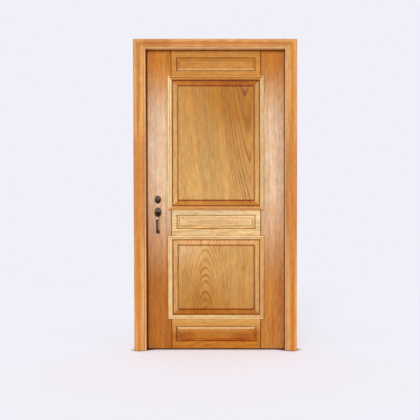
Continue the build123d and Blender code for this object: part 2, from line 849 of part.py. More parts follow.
def add_cylinder():
    """The key cylinder outside, the thumb turn inside, and their roses."""
    front = leaf_front - rose_thick - cylinder_proud
    span = (front, case_y[0] - bolt_fit)
    body = rod_y(lock_x, cylinder_height, span, cylinder_r)
    body -= rod_y(lock_x, cylinder_height, span, plug_r + running_fit)
    for hole in cylinder_screws(screw_hole):
        body -= hole
    plug = rod_y(lock_x, cylinder_height, span, plug_r)
    slot_wide, slot_high = keyway
    plug -= block(around(lock_x, slot_wide / 2), (front, front + keyway_deep),
                  around(cylinder_height, slot_high / 2))
    plug -= tail_bar_block((case_y[0] - tail_bar_bite, case_y[0]), spindle_fit)
    parts["cylinder_body"], parts["cylinder_plug"] = body, plug

    outside = rose(cylinder_rose_size, cylinder_height, (leaf_front - rose_thick, leaf_front), True)
    outside -= rod_y(lock_x, cylinder_height, (leaf_front - rose_thick, leaf_front),
                     cylinder_r + running_fit)
    parts["cylinder_rose"] = outside

    inside_y = (leaf_back, leaf_back + rose_thick)
    inside = rose(cylinder_rose_size, cylinder_height, inside_y, False)
    inside -= rod_y(lock_x, cylinder_height, inside_y, turn_stem_r + running_fit)
    for hole in cylinder_screws(screw_hole):
        inside -= hole
    parts["turn_rose"] = inside
    parts["cylinder_screws"] = Compound(children=cylinder_screws(screw))


def add_thumb_turn():
    """The turn that locks the dead bolt from inside."""
    wide, high, deep = turn_size
    start = leaf_back + rose_thick + turn_clear
    grip = from_front(at(lock_x, cylinder_height, RectangleRounded(wide, high, turn_corner)),
                      (start, start + deep))
    grip = fillet(grip.faces().sort_by(Axis.Y)[-1].edges(), turn_edge)
    stem = rod_y(lock_x, cylinder_height, (case_y[1] + case_fit, start), turn_stem_r)
    turn = stem + grip
    parts["thumb_turn"] = turn - tail_bar_block((case_y[1], leaf_back + rose_thick + bolt_fit),
                                                spindle_fit)


def grip_bow():
    """The outside grip: one bent bar of oval section from the rose out, down and back."""
    root, foot = leaf_front - rose_thick, leaf_front - foot_thick / 2
    out = leaf_front - grip_out
    path = FilletPolyline((lock_x, root, grip_root), (lock_x, out, grip_root - grip_slope),
                          (lock_x, out, grip_foot + grip_slope), (lock_x, foot, grip_foot),
                          radius=grip_bend)
    wide, thick = grip_section
    start = Plane(origin=path @ 0, x_dir=(1, 0, 0), z_dir=path % 0)
    return sweep(start * Ellipse(wide / 2, thick / 2), path)


def add_grip():
    """Handle rose, grip and foot in one casting, hollow behind for the thumb piece."""
    face = leaf_front - handle_rose_thick
    outside_y = (face, leaf_front)
    casting = rose(handle_rose_size, handle_rose_centre, outside_y, True)
    foot_outline = at(lock_x, grip_foot, Ellipse(foot_size[0] / 2, foot_size[1] / 2))
    foot = from_front(foot_outline, (leaf_front - foot_thick, leaf_front))
    foot = fillet(foot.faces().sort_by(Axis.Y)[0].edges(), foot_thick / 2)
    casting += grip_bow() + foot
    axle_room = thumb_axle_r + case_fit
    casting -= block(thumb_axle_limits(case_fit), (thumb_axle_y - axle_room, leaf_front),
                     around(thumb_axle_z, thumb_room))
    casting -= block(around(lock_x, thumb_neck / 2 + case_fit), outside_y,
                     around(thumb_axle_z, thumb_room))
    for hole in through_screws(screw_hole):
        casting -= hole
    parts["grip_handle"] = casting
    parts["through_screws"] = Compound(children=through_screws(screw))


def thumb_axle_limits(fit=0):
    """How far the thumb piece's axle reaches to each side, or the room for it."""
    return (tail_x - tail_width / 2 - fit, lock_x + thumb_neck / 2 + thumb_axle_end + fit)


def add_thumb_piece():
    """The thumb plate, its axle behind the rose and the tail that lifts the follower."""
    tip = thumb_axle_y - thumb_reach
    axle = rod_x(thumb_axle_y, thumb_axle_z, thumb_axle_limits(), thumb_axle_r)
    neck = block(around(lock_x, thumb_neck / 2), (tip + thumb_plate[1] / 2, thumb_axle_y),
                 around(thumb_axle_z, thumb_thick / 2))
    outline = RectangleRounded(*thumb_plate, thumb_corner)
    plate = extrude(at(lock_x, tip + thumb_plate[1] / 2, outline), thumb_thick)
    plate = Pos(0, 0, thumb_axle_z - thumb_thick / 2) * plate
    plate = fillet(plate.edges().group_by(Axis.Z)[-1], thumb_edge)
    tail = block(around(tail_x, tail_width / 2), (thumb_axle_y, thumb_axle_y + thumb_tail_long),
                 around(thumb_axle_z, thumb_thick / 2))
    piece = axle + neck + plate + tail
    place = Pos(0, thumb_axle_y, thumb_axle_z)
    piece = place * Rot(thumb_swing / 2, 0, 0) * place.inverse() * piece
    parts["thumb_piece"] = piece


def add_knob():
    """The inside knob on its rose, and the square spindle into the lock."""
    inside_y = (leaf_back, leaf_back + rose_thick)
    plate = rose(handle_rose_size, handle_rose_centre, inside_y, False)
    plate -= rod_y(lock_x, handle_height, inside_y, knob_neck_r + running_fit)
    for hole in through_screws(screw_hole)[:2]:
        plate -= hole
    parts["knob_rose"] = plate

    waist, crown = (knob_neck_r, knob_waist), (0, knob_long)
    profile = Polyline(crown, (0, bolt_fit), (knob_neck_r, bolt_fit), waist)
    profile += Spline(waist, knob_swell, knob_widest, knob_shoulder, crown,
                      tangents=((0, 1), (-1, 0)))
    knob = revolve(make_face(profile), Axis.Y)
    knob = Pos(lock_x, leaf_back, handle_height) * knob
    knob -= spindle_block((leaf_back, leaf_back + spindle_in_knob + bolt_fit), spindle_fit)
    bar_y = (room_y[0], leaf_back + spindle_in_knob)
    half = follower_swing / 2
    parts["inside_knob"] = turned(knob, lock_x, handle_height, half)
    parts["knob_spindle"] = turned(spindle_block(bar_y), lock_x, handle_height, half)


def build():
    """Every piece of the door set, by name."""
    jamb = hinge_jamb()
    parts["frame_jamb_lock"], parts["frame_jamb_hinge"] = flipped(jamb), jamb
    parts["frame_head"] = frame_head()
    stile = hinge_stile()
    parts["stile_lock"], parts["stile_hinge"] = flipped(stile), stile
    side = rail_x - motif_side_inset
    parts["rail_top"] = rail(top_rail, [(top_rail[0], 1)],
                             (top_rail[0] + motif_inset, top_rail[1] - motif_inset), side)
    parts["rail_middle"] = rail(middle_rail, [(middle_rail[0], 1), (middle_rail[1], -1)],
                                (middle_rail[0] + middle_motif_low, middle_rail[1] - motif_inset), side)
    parts["rail_bottom"] = rail(bottom_rail, [(bottom_rail[1], -1)],
                                (bottom_rail[0] + bottom_motif_low, bottom_rail[1] - bottom_motif_high),
                                rail_x - bottom_motif_side)
    for name, low, high in (("upper", middle_rail[1], top_rail[0]),
                            ("lower", bottom_rail[1], middle_rail[0])):
        parts[f"panel_{name}"] = panel(low, high)
        mouldings(name, low, high)
    add_hinges()
    add_lock()
    cut_stile_for_lock()
    add_strike()
    add_cylinder()
    add_thumb_turn()
    add_grip()
    add_thumb_piece()
    add_knob()


build()
os.makedirs("parts", exist_ok=True)
for name, shape in parts.items():
    export_step(shape, f"parts/{name}.step")
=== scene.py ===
"""Finishes for a panelled timber front door: varnished wood, dark bronze and a plain stage."""
import math
from typing import NamedTuple

import bmesh
import bpy
from bpy.props import FloatProperty, FloatVectorProperty, PointerProperty
from mathutils import Euler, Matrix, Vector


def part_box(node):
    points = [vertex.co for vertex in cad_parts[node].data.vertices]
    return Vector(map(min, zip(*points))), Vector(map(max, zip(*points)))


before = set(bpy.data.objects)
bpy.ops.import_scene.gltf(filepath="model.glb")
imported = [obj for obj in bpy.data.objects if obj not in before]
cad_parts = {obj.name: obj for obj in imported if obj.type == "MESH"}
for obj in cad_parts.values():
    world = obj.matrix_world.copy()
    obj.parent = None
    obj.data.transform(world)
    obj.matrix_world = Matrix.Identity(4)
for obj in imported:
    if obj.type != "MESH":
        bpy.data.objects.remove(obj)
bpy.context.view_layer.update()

bl_info = {
    "name": "Panelled Front Door Finisher",
    "version": (1, 0, 0),
    "blender": (4, 5, 0),
    "location": "3D View > Sidebar > Front Door",
    "description": "Gives a timber front door its wood, metal and stage",
    "category": "Object",
}


def paint(red, green, blue):
    """A colour written as 0 to 255 display values, as the linear values that shaders use."""
    shares = (value / 255 for value in (red, green, blue))
    return tuple(c / 12.92 if c <= 0.04045 else ((c + 0.055) / 1.055) ** 2.4 for c in shares)


def colour_setting(name, description, colour):
    return FloatVectorProperty(
        name=name, description=description, subtype="COLOR", size=3, min=0, max=1,
        default=paint(*colour),
    )


# Settings

class TimberSettings(bpy.types.PropertyGroup):
    """Colours and grain of the wooden pieces."""

    frame_light: colour_setting("Frame, light", "The frame's golden orange", (222, 161, 94))
    frame_deep: colour_setting("Frame, deep", "The frame's deeper orange", (194, 124, 52))
    stile_top: colour_setting("Stile top", "Stiles under the frame's head", (201, 128, 32))
    # The stiles' palest tone, at half height.
    stile_palest: colour_setting("Stile, faded", "Stiles where the sun has faded them",
                                (228, 197, 164))
    stile_foot: colour_setting("Stile foot", "Stiles near the sill", (182, 112, 34))
    stile_foot_right: colour_setting("Stile foot, right", "Right stile near the sill",
                                     (198, 132, 58))
    rail_top: colour_setting("Top rail", "Rail over the upper panel", (208, 145, 58))
    rail_middle: colour_setting("Middle rail", "Faded rail between the panels", (240, 211, 160))
    rail_low: colour_setting("Bottom rail, upper edge", "Rail under the lower panel",
                             (226, 180, 104))
    rail_foot: colour_setting("Bottom rail", "Rail near the sill", (191, 121, 30))
    panel_light: colour_setting("Panel, light", "Faded part of the panels", (215, 170, 100))
    panel_deep: colour_setting("Panel, deep", "Deeper part of the panels", (184, 122, 36))
    panel_pale: colour_setting("Panel, pale", "Corner that the sun has bleached",
                               (244, 214, 170))
    moulding_light: colour_setting("Moulding, light", "Faded mouldings", (255, 228, 170))
    moulding_deep: colour_setting("Moulding, deep", "Mouldings under the rails", (224, 158, 82))
    growth_line: colour_setting("Growth line", "Tint of the dark line of each ring",
                                (210, 172, 120))
    blot: colour_setting("Blot", "Tint of the wood's deeper clouds", (222, 172, 110))
    flush: colour_setting("Flush", "Tint of the wood's redder clouds", (255, 236, 214))
    end_grain: colour_setting("End grain", "Tint of wood cut across its fibres",
                              (240, 206, 160))
    # Painted light and painted shade: slopes are tinted by the way they face the light, and the
    # light tone also paints light on the frame's rounded inner edge.
    painted_light_tone: colour_setting("Sunned face", "Wood that slopes towards the light",
                           (242, 208, 154))
    painted_shade_tint: colour_setting("Sheltered face", "Tint of wood that slopes away from the light",
                              (254, 236, 190))
    # Old varnish and painted shade together: this tint darkens the wood where other surfaces
    # close in round it.
    corner_stain_and_shade: colour_setting("Corner stain", "Tint of old varnish in corners",
                                 (128, 84, 20))
    # Old varnish and painted shade together: this tint darkens grooves, steps, the inside of the
    # opening and the leaf's edges beside the frame.
    groove_stain_and_shade: colour_setting("Groove stain", "Tint of old varnish along grooves and steps",
                                 (192, 132, 2))
    corner_reach: FloatProperty(name="Corner stain reach",
                                description="How far varnish darkens out of a corner",
                                default=0.005, min=0, max=0.1, unit="LENGTH")
    # The mouldings' corner tint: old varnish and painted shade beside a bead.
    bead_stain_and_shade: colour_setting("Moulding stain", "Tint of old varnish beside a moulding's bead",
                               (216, 182, 130))
    arris_round: FloatProperty(name="Arris round", description="Softening of sharp wooden edges",
                               default=0.0012, min=0, max=0.01, unit="LENGTH")
    varnish_roughness: FloatProperty(name="Varnish roughness",
                                     description="0 is polished and 1 is dull",
                                     default=0.55, min=0, max=1, subtype="FACTOR")


class MetalSettings(bpy.types.PropertyGroup):
    """Colours of the furniture, the hinges and the lock."""

    bronze: colour_setting("Bronze", "Dark bronze of handle, roses and hinges", (54, 45, 36))
    bronze_worn: colour_setting("Worn bronze", "Bronze where hands have rubbed it",
                                (104, 84, 64))
    # Painted highlight on the grip's upper bend.
    bronze_highlight: colour_setting("Bright bronze", "Bronze polished by hands",
                                  (190, 168, 142))
    # Painted shade on the lower part of the roses, for the dark below reflected in them.
    rose_foot_shade: colour_setting("Grime", "Tint of the foot of each rose", (160, 140, 104))
    brass: colour_setting("Brass", "Latch and dead bolt", (206, 172, 110))
    brass_worn: colour_setting("Worn brass", "Brass where it has been rubbed", (228, 200, 146))
    steel: colour_setting("Steel", "Lock case and its works", (166, 168, 172))
    steel_worn: colour_setting("Worn steel", "Steel where it has been rubbed", (204, 206, 210))
    wear_width: FloatProperty(name="Wear width", description="Width of the rubbed edges",
                              default=0.0012, min=0, max=0.01, unit="LENGTH")


class StageSettings(bpy.types.PropertyGroup):
    """Camera, background, floor and light."""

    background: colour_setting("Background", "Plain pale background", (241, 240, 249))
    camera_distance: FloatProperty(name="Camera distance", description="In front of the frame",
                                   default=4.7, min=1, max=20, unit="LENGTH")
    camera_side: FloatProperty(name="Camera side", description="To the right of the doorway",
                               default=0.36, min=-5, max=5, unit="LENGTH")
    camera_height: FloatProperty(name="Camera height", description="Over the sill line",
                                 default=0.871, min=0, max=5, unit="LENGTH")
    camera_tilt: FloatProperty(name="Camera tilt", description="Down from level",
                               default=math.radians(1.4), min=0, max=1.5, subtype="ANGLE")
    lens: FloatProperty(name="Lens", description="Focal length on a 36 mm sensor",
                        default=58, min=10, max=300, unit="CAMERA")
    shift_side: FloatProperty(name="Shift to the side", description="Share of the frame's width",
                              default=-0.1363, min=-1, max=1)
    shift_up: FloatProperty(name="Shift up", description="Share of the frame's width",
                            default=0.0776, min=-1, max=1)
    sky: FloatProperty(name="Sky", description="Strength of the even light",
                       default=0.5, min=0, max=5)
    floor_glow: FloatProperty(name="Floor glow", description="Lifts the floor to the background",
                              default=0.4, min=0, max=1)
    sun: FloatProperty(name="Sun", description="Strength of the lamp in front of the door",
                       default=1.68, min=0, max=20)
    sun_softness: FloatProperty(name="Sun softness", description="Angle that the lamp fills",
                                default=math.radians(26), min=0, max=3, subtype="ANGLE")
    sun_tilt: FloatProperty(name="Sun tilt", description="0 shines straight down",
                            default=math.radians(79), min=0, max=3, subtype="ANGLE")
    sun_turn: FloatProperty(name="Sun turn", description="Round the upright, from straight on",
                            default=math.radians(-3), min=-3, max=3, subtype="ANGLE")
    floor_radius: FloatProperty(name="Floor radius", description="It fades out before its edge",
                                default=6, min=1, max=50, unit="LENGTH")


# Node recipes

class Recipe:
    """Adds nodes to a material, world or group and joins them up."""

    def __init__(self, tree):
        self.tree = tree

    def add(self, kind, inputs=None, **settings):
        """A new node with its settings made and its inputs fed."""
        made = self.tree.nodes.new(kind)
        for name, value in settings.items():
            setattr(made, name, value)
        for key, value in (inputs or {}).items():
            self.feed(made.inputs[key], value)
        return made

    def feed(self, socket, value):
        """Joins an input to another socket, or gives it a value of its own."""
        if isinstance(value, bpy.types.NodeSocket):
            self.tree.links.new(value, socket)
        elif socket.type == "RGBA" and len(value) == 3:
            socket.default_value = (*value, 1)
        else:
            socket.default_value = value

    def sum(self, operation, first, second=0.0, third=0.0, clamp=False):
        """One step of arithmetic on up to three numbers."""
        made = self.add("ShaderNodeMath", operation=operation, use_clamp=clamp)
        for socket, value in zip(made.inputs, (first, second, third)):
            self.feed(socket, value)
        return made.outputs[0]

    def gap(self, value, place):
        """How far a value is from a place, on either side of it."""
        return self.sum("ABSOLUTE", self.sum("SUBTRACT", value, place))

    def vary(self, value, pattern, amount):
        """The value, raised and lowered by a pattern that runs from 0 to 1."""
        return self.sum("MULTIPLY_ADD", self.sum("SUBTRACT", pattern, 0.5), amount, value)

    def vector(self, operation, *values):
        made = self.add("ShaderNodeVectorMath", dict(enumerate(values)), operation=operation)
        return made.outputs["Value" if operation in ("LENGTH", "DOT_PRODUCT") else "Vector"]

    def join(self, x, y, z):
        return self.add("ShaderNodeCombineXYZ", {"X": x, "Y": y, "Z": z}).outputs[0]

    def split(self, vector):
        return self.add("ShaderNodeSeparateXYZ", {0: vector}).outputs

    def stretch(self, point, along):
        """The point with its Z shrunk, so that a pattern runs that much longer along Z."""
        return self.vector("MULTIPLY", point, (1, 1, along))

    def noise(self, point, scale, detail=2.0, roughness=0.5):
        return self.add("ShaderNodeTexNoise", {
            "Vector": point, "Scale": scale, "Detail": detail, "Roughness": roughness,
        }).outputs[0]

    def fade(self, value, low, high, start=0.0, end=1.0):
        """A smooth passage from start to end, while the value goes from low to high."""
        return self.add("ShaderNodeMapRange", {
            "Value": value, "From Min": low, "From Max": high, "To Min": start, "To Max": end,
        }, interpolation_type="SMOOTHSTEP").outputs[0]

    def blend(self, share, first, second, blend_type="MIX"):
        """The first colour where the share is 0, and the second where it is 1."""
        made = self.add("ShaderNodeMix", data_type="RGBA", blend_type=blend_type)
        for place, value in ((0, share), (6, first), (7, second)):
            self.feed(made.inputs[place], value)
        return made.outputs[2]

    def tint(self, share, colour, tint):
        """The colour multiplied by the tint, to the share given."""
        return self.blend(share, colour, tint, "MULTIPLY")

    def choose(self, share, first, added):
        """The first vector where the share is 0, and the sum of both where it is 1."""
        return self.vector("ADD", first, self.vector("MULTIPLY", added, self.join(*[share] * 3)))


def new_material(name):
    """A material, a recipe for it, and its shader."""
    material = bpy.data.materials.new(name)
    material.use_nodes = True
    recipe = Recipe(material.node_tree)
    return material, recipe, recipe.tree.nodes["Principled BSDF"]


def new_group(name, inputs, outputs):
    """A node group with its sockets, a recipe for it, and its input and output nodes."""
    group = bpy.data.node_groups.new(name, "ShaderNodeTree")
    for way, sockets in (("INPUT", inputs), ("OUTPUT", outputs)):
        for socket, kind in sockets.items():
            group.interface.new_socket(socket, in_out=way, socket_type=f"NodeSocket{kind}")
    recipe = Recipe(group)
    given = recipe.add("NodeGroupInput").outputs
    return group, recipe, given, recipe.add("NodeGroupOutput").inputs


def shared_group(name, maker):
    """The node group of that name, made when it is first asked for."""
    return bpy.data.node_groups.get(name) or maker()


def growth_rings():
    """Rings round a leaning pith: each year's dark late wood, and a shade per year."""
    group, r, given, out = new_group(
        "growth_rings",
        {"Point": "Vector", "Pith": "Vector", "Ring": "Float", "Wander": "Float"},
        {"Late": "Float", "Year": "Float", "Spell": "Float"},
    )
    x, y, z = r.split(given["Point"])
    pith_x, pith_y, lean = r.split(given["Pith"])
    bend = r.add("ShaderNodeTexNoise", {
        "Vector": r.stretch(given["Point"], 0.3), "Scale": 5.0, "Detail": 3.0,
    }).outputs["Color"]
    bend_x, bend_y, _ = r.split(r.vector("SUBTRACT", bend, (0.5, 0.5, 0.5)))
    across = r.sum("MULTIPLY_ADD", bend_x, given["Wander"], r.sum("SUBTRACT", x, pith_x))
    depth = r.sum("SUBTRACT", y, r.sum("MULTIPLY_ADD", z, lean, pith_y))
    depth = r.sum("MULTIPLY_ADD", bend_y, given["Wander"], depth)
    distance = r.vector("LENGTH", r.join(across, depth, 0.0))
    years = r.sum("DIVIDE", distance, given["Ring"])
    uneven = r.noise(r.join(years, 0.31, 0.0), scale=0.37)
    years = r.sum("MULTIPLY_ADD", uneven, 2.2, years)
    season = r.sum("FRACT", years)
    rise, drop = r.fade(season, 0.45, 0.86), r.fade(season, 0.92, 1.0)
    r.feed(out["Late"], r.sum("SUBTRACT", rise, drop, clamp=True))
    year = r.sum("FLOOR", years)
    r.feed(out["Year"], r.noise(r.join(year, 0.37, 0.71), scale=0.83, detail=0.0))
    r.feed(out["Spell"], r.noise(r.join(years, 0.13, 0.57), scale=0.16, detail=1.0))
    return group


def sawn_timber():
    """Varnished wood with its fibres along Z of the point that it is given."""
    group, r, given, out = new_group(
        "sawn_timber",
        {"Point": "Vector", "Grain": "Vector", "Pith": "Vector", "Ring": "Float",
         "Wander": "Float", "Contrast": "Float", "Tone": "Color", "Line Tint": "Color",
         "Flush Tint": "Color", "End Tint": "Color", "Corner Tint": "Color",
         "Corner Reach": "Float"},
        {"Color": "Color", "Roughness": "Float", "Height": "Float"},
    )
    log = r.add("ShaderNodeGroup", node_tree=growth_rings())
    for name in ("Point", "Pith", "Ring", "Wander"):
        r.feed(log.inputs[name], given[name])
    strength = r.fade(log.outputs["Year"], 0.3, 0.7, start=0.45)
    late = r.sum("MULTIPLY", log.outputs["Late"], strength)

    def pattern_along(stretch, scale, detail, roughness):
        return r.noise(r.stretch(given["Point"], stretch), scale, detail, roughness)

    broad = pattern_along(0.12, scale=16.0, detail=2.0, roughness=0.5)
    cloud = pattern_along(0.4, scale=55.0, detail=3.0, roughness=0.6)
    streak = pattern_along(0.08, scale=150.0, detail=4.0, roughness=0.65)
    fibre = pattern_along(0.025, scale=900.0, detail=2.0, roughness=0.6)
    fleck = pattern_along(0.35, scale=260.0, detail=2.0, roughness=0.6)
    flush = pattern_along(0.22, scale=42.0, detail=3.0, roughness=0.6)
    pores = r.add("ShaderNodeTexVoronoi", {
        "Vector": r.stretch(given["Point"], 0.06), "Scale": 900.0,
    }).outputs["Distance"]
    pore = r.fade(pores, 0.1, 0.32, start=1.0, end=0.0)

    shade = 1.0
    for pattern, amount in ((streak, 0.8), (fibre, 0.4), (fleck, 0.45), (broad, 0.35),
                            (cloud, 0.45), (log.outputs["Spell"], 0.5)):
        shade = r.vary(shade, pattern, amount)
    shade = r.sum("MULTIPLY_ADD", pore, -0.14, shade)
    lines = r.sum("MULTIPLY", late, given["Contrast"], clamp=True)
    colour = r.tint(lines, given["Tone"], given["Line Tint"])
    colour = r.tint(1.0, colour, r.join(shade, shade, shade))
    colour = r.tint(r.fade(flush, 0.4, 0.7, end=0.8), colour, given["Flush Tint"])

    normal = r.add("ShaderNodeTexCoord").outputs["Normal"]
    slope = r.sum("ABSOLUTE", r.vector("DOT_PRODUCT", normal, given["Grain"]))
    colour = r.tint(r.fade(slope, 0.04, 0.25), colour, given["End Tint"])
    # Painted shade with old varnish: the wood darkens where other surfaces close in round it.
    open_sky = r.add("ShaderNodeAmbientOcclusion", {"Distance": given["Corner Reach"]},
                     samples=6).outputs["AO"]
    corner = r.fade(open_sky, 0.5, 0.98, start=1.0, end=0.0)
    colour = r.tint(corner, colour, given["Corner Tint"])
    r.feed(out["Color"], colour)

    rough = r.vary(0.0, broad, 0.22)
    r.feed(out["Roughness"], r.sum("MULTIPLY_ADD", late, -0.05, rough))
    height = r.sum("MULTIPLY_ADD", fibre, 0.4, r.sum("MULTIPLY", late, 0.4))
    r.feed(out["Height"], r.sum("MULTIPLY_ADD", pore, -0.8, height))
    return group


class Board(NamedTuple):
    """How one piece of timber was sawn out of its log."""

    pith: tuple           # where the log's heart passes: across, in depth, and its lean
    grain: str = "Z"
    ring: float = 0.006
    contrast: float = 0.8
    wander: float = 0.03
    skew: float = 0.0     # how far the fibres lean sideways
    stave: float = None   # where a second board is glued on
    second: tuple = None  # what is added to the pith in that board
    second_contrast: float = 0.0  # and to the contrast
    plain: float = None   # where the lines of the rings end


BOARDS = {
    "frame_jamb_lock": Board((-0.46, 0.16, 0.004), ring=0.017, contrast=0.35, wander=0.05),
    "frame_jamb_hinge": Board((0.62, 0.19, -0.006), ring=0.019, contrast=0.35, wander=0.05),
    "frame_head": Board((2.02, 0.17, 0.012), "X", ring=0.019, contrast=0.35, wander=0.04),
    "stile_lock": Board((-0.86, -0.11, 0.01), ring=0.0045, contrast=0.5),
    "stile_hinge": Board((0.74, -0.06, 0.015), ring=0.007, contrast=0.9, wander=0.06),
    "rail_top": Board((1.82, -0.08, 0.02), "X", ring=0.006, contrast=0.6),
    "rail_middle": Board((0.80, -0.10, 0.02), "X", ring=0.006, contrast=0.6),
    "rail_bottom": Board((0.02, 0.01, 0.03), "X", ring=0.008, contrast=0.75, wander=0.05),
    "panel_upper": Board((-0.9, -0.06, 0.015), ring=0.0078, contrast=0.6, wander=0.025,
                         skew=0.1, stave=0.22, second=(1.28, -0.126, 0.026),
                         second_contrast=0.5, plain=0.240),
    "panel_lower": Board((-0.078, 0.15, 0.11), ring=0.0066, contrast=0.95, wander=0.014,
                         stave=0.09, second=(0.9, -0.24, -0.06)),
}


class Groove(NamedTuple):
    """A rectangle round the door's middle line, darkened by old varnish and painted shade."""

    middle: float        # its height over the sill line
    half_width: float
    half_height: float
    reach: float         # how far out of the line the wood is darkened
    share: float = 1.0
    outside: bool = False  # on the leaf's outside alone


OPENING_HALF_WIDTH = 0.4835     # between the frame's stops
OPENING_HEIGHT = 2.098
OPENING_STEP = OPENING_HEIGHT - OPENING_HALF_WIDTH
UPPER_PANEL = 1.453             # heights of the panels' middles
LOWER_PANEL = 0.510
RELIEF_STEP = 0.02              # from the border of a rail's field to the step inside it


def upright(half_width, reach, share, outside=False):
    """A line up each side of the door, longer than the door at both ends."""
    return Groove(1.05, half_width, 2.0, reach, share, outside)


def round_mouldings(middle, half_height, reach):
    """The line where a panel's mouldings meet the framing."""
    return Groove(middle, 0.3065, half_height, reach)


def round_field(middle, half_height):
    """The line round a panel's raised field."""
    return Groove(middle, 0.2685, half_height, reach=0.0095, share=0.7)


def relief(middle, half_width, half_height, share, inner_share):
    """The lines round the border and the step of a rail's field."""
    return (Groove(middle, half_width, half_height, reach=0.005, share=share),
            Groove(middle, half_width - RELIEF_STEP, half_height - RELIEF_STEP,
                   reach=0.004, share=inner_share))


RAIL_ENDS = upright(0.3135, 0.0045, 0.8)
BLOTS = {                       # deeper clouds: middle, half width, half height and share
    "frame_head": ((-0.42, 2.13, 0.14, 0.06, 0.35),),
    "panel_lower": ((0.194, 0.575, 0.028, 0.05, 0.35), (0.194, 0.575, 0.008, 0.014, 0.6)),
    "rail_bottom": ((-0.22, 0.095, 0.1, 0.045, 0.6), (0.2, 0.09, 0.14, 0.05, 0.65),
                    (0.08, 0.066, 0.2, 0.016, 0.6)),
    "stile_hinge": ((0.40, 0.16, 0.02, 0.26, 0.5), (0.455, 0.4, 0.025, 0.34, 0.3)),
    "stile_lock": ((-0.33, 2.05, 0.02, 0.08, 0.35), (-0.34, 0.09, 0.03, 0.12, 0.25)),
    "panel_upper": ((0.185, 1.79, 0.045, 0.07, 0.3),),
    "rail_middle": ((0.0, 0.9, 0.27, 0.03, 0.4),),
}
GROOVES = {
    # At the opening's edge, on the leaf's outside, the line is painted shade cast by the frame's
    # stops.
    "stile_lock": (RAIL_ENDS, upright(OPENING_HALF_WIDTH, 0.008, 0.9, outside=True)),
    "stile_hinge": (RAIL_ENDS, upright(OPENING_HALF_WIDTH, 0.012, 0.95, outside=True)),
    "rail_top": (RAIL_ENDS, *relief(2.003, 0.2755, 0.045, 0.6, 0.3)),
    "rail_middle": (RAIL_ENDS, *relief(0.9005, 0.2755, 0.0475, 0.55, 0.45)),
    "rail_bottom": (RAIL_ENDS, *relief(0.111, 0.2815, 0.051, 0.6, 0.2)),
    "panel_upper": (round_mouldings(UPPER_PANEL, 0.439, 0.006), round_field(UPPER_PANEL, 0.401)),
    "panel_lower": (round_mouldings(LOWER_PANEL, 0.264, 0.006), round_field(LOWER_PANEL, 0.226)),
    "upper": (round_mouldings(UPPER_PANEL, 0.439, 0.004),),
    "lower": (round_mouldings(LOWER_PANEL, 0.264, 0.004),),
}
GROOVE_CORE = 0.3               # the share of a groove's reach that is fully dark
OUTSIDE_DEPTH = (0.07, 0.09)    # how deep in the frame the leaf's outside ends

FRAME_MIDDLE = (0.534, 2.130)   # where the jambs are deepest across, and the head in height
FRAME_CORE = (0.002, 0.024)     # how far from it the deeper tone of the frame fades
FRAME_DEEP_HEIGHT = 1.12        # where the jambs are deeper all over
FRAME_DEEP_REACH = (0.22, 0.5)  # and how far up and down from there that fades
STILE_FOOT = (0.4, 1.22)        # heights between which the tone of a stile's foot turns faded
STILE_TOP = (1.56, 2.04)        # and the faded tone turns into that of its top
RAIL_FOOT = (0.07, 0.27)        # heights of such a passage within the bottom rail
RAIL_LOW = (0.5, 1.02)          # from the bottom rail to the middle rail
RAIL_HIGH = (1.1, 1.8)          # and from the middle rail to the top rail
MIDDLE_RAIL = 0.92              # its height, where the panels beside it are lightest
PANEL_DEEPENING = 0.75          # how fast they deepen up and down from it
PANEL_DEPTH = (-0.05, 0.95)     # the depth at which the light tone begins to turn, and has turned
REVEAL_SHADE_DEPTH = {                 # how deep inside the opening the frame's painted shade begins
    "frame_head": (0.036, 0.056), "frame_jamb_lock": (0.002, 0.04),
    "frame_jamb_hinge": (0.002, 0.04),
}
REVEAL_EDGE = 0.4838            # across, just past the frame's inner faces
REVEAL_SHADED = 0.4858         # where their painted shade ends
REVEAL_LIT = 0.4958          # and where the painted light on the rounded edge beside them ends
LIGHT_TURNS = (1.5, 1.95)       # heights between which the light turns from above to below
SLOPE_LIT = (0.03, 0.2)         # how far a slope faces the light, none and full
SLOPE_BESIDE = (0.03, 0.16)
SLOPE_SHELTERED = (-0.22, -0.03)
PLAIN_FADE = 0.012              # how wide the passage to a board's plain part is
PLAIN_SHARE = 0.25              # and what is left of the contrast there
DEEP_PATCH = {                  # the darker patch's middle and reach, and how depth slants
    "panel_upper": (0.15, 1.76, 0.3, 0.6), "panel_lower": (-0.08, 0.34, 0.24, -0.2),
}
PALE_PATCH = {                  # the paler patch's middle, reach and share
    "panel_lower": (-0.25, 0.80, 0.27, 0.7),
}
SLOPE_LIGHT_SHARES = {                      # painted light's share on slopes that face up, and on those that face sideways
    "panel_upper": (0.35, 0.3), "panel_lower": (0.95, 0.3),
    "rail_top": (0.4, 0.0), "rail_middle": (0.8, 0.0), "rail_bottom": (0.8, 0.0),
}
MOULDING_DEPTH = {              # 0 is the palest tone and 1 the deep one; partly painted shade, deeper on sides that less light reaches
    "upper_top": 1.0, "upper_bottom": 0.85, "upper_left": 0.0, "upper_right": 0.1,
    "lower_top": 0.1, "lower_bottom": 0.15, "lower_left": 0.05, "lower_right": 0.6,
}


# Tones along the pieces, each a colour for a place on the door

